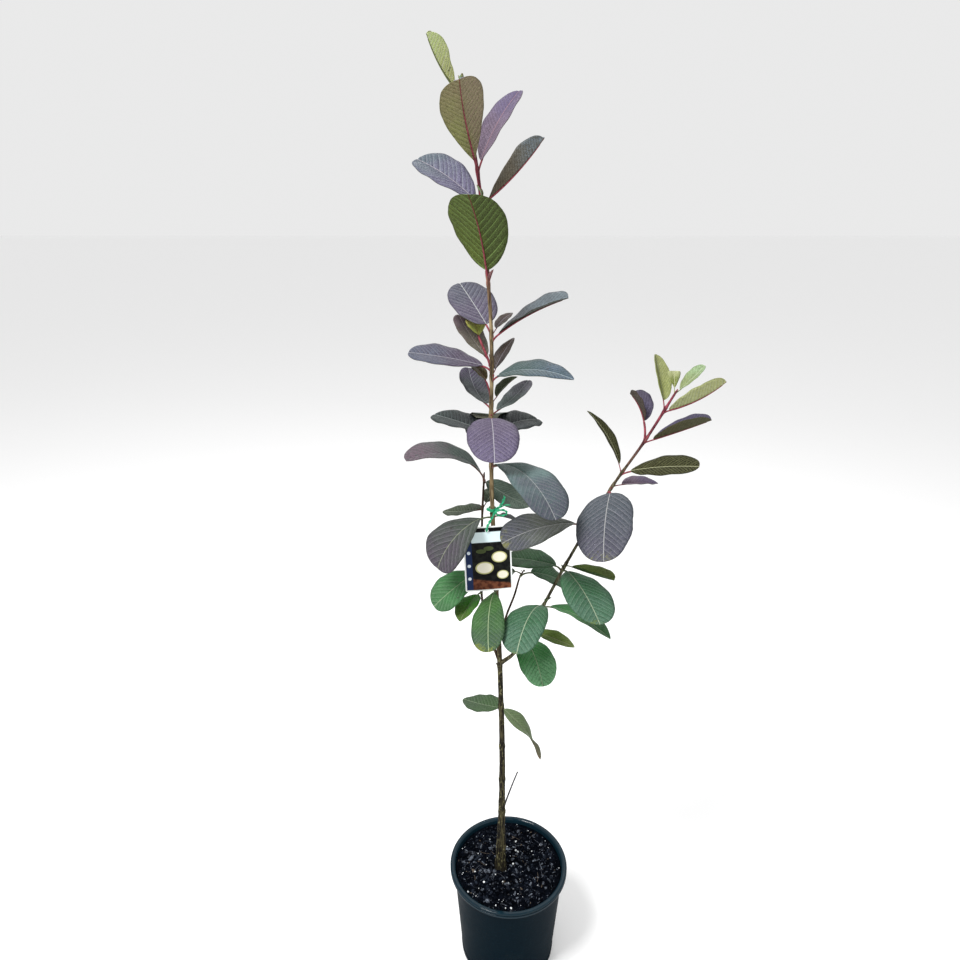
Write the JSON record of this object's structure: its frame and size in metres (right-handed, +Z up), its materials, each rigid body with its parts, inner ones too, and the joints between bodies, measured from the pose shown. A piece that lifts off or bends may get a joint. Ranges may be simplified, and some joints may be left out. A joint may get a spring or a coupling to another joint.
{
  "type": "potted guava tree",
  "caption": "Young guava tree in a round nursery pot, with a slender trunk, side boughs and large leaves in opposite pairs.",
  "frame": {"origin": "centre of the pot's flat underside", "axes": "+Z up along the pot's axis, +X towards the side that the longer bough leans to, -Y towards the side of the plant label"},
  "size_m": [0.3926, 0.2281, 1.4201],
  "materials": {
    "pot_plastic": "moulded, slightly glossy",
    "potting_mix": "loose bark chips with white perlite",
    "bark": "thin bark, rough and peeling near the foot",
    "green_leaves": "leathery, veined",
    "purple_leaves": "leathery, veined, grey-purple",
    "young_leaves": "soft, ribbed by the veins",
    "label": "printed plastic card",
    "tie": "thin plastic-coated wire"
  },
  "bodies": {
    "root": {"pot": "pot_plastic", "potting_mix": "potting_mix", "trunk": "bark", "right_bough": "bark", "left_bough": "bark", "middle_twig": "bark", "label": "label", "label_tie": "tie", "foliage_leader_01": "green_leaves", "foliage_leader_02": "green_leaves", "foliage_leader_03": "purple_leaves", "foliage_leader_04": "purple_leaves", "foliage_leader_05": "purple_leaves", "foliage_leader_06": "purple_leaves", "foliage_leader_07": "purple_leaves", "foliage_leader_08": "purple_leaves", "foliage_leader_09": "purple_leaves", "foliage_leader_10": "purple_leaves", "foliage_leader_11": "purple_leaves", "foliage_leader_12": "young_leaves", "foliage_right_01": "green_leaves", "foliage_right_02": "green_leaves", "foliage_right_03": "green_leaves", "foliage_right_04": "purple_leaves", "foliage_right_05": "purple_leaves", "foliage_right_06": "purple_leaves", "foliage_right_07": "purple_leaves", "foliage_right_08": "young_leaves", "foliage_left_01": "green_leaves", "foliage_left_02": "purple_leaves", "foliage_left_03": "purple_leaves", "foliage_twig_01": "green_leaves"}
  },
  "joints": []
}
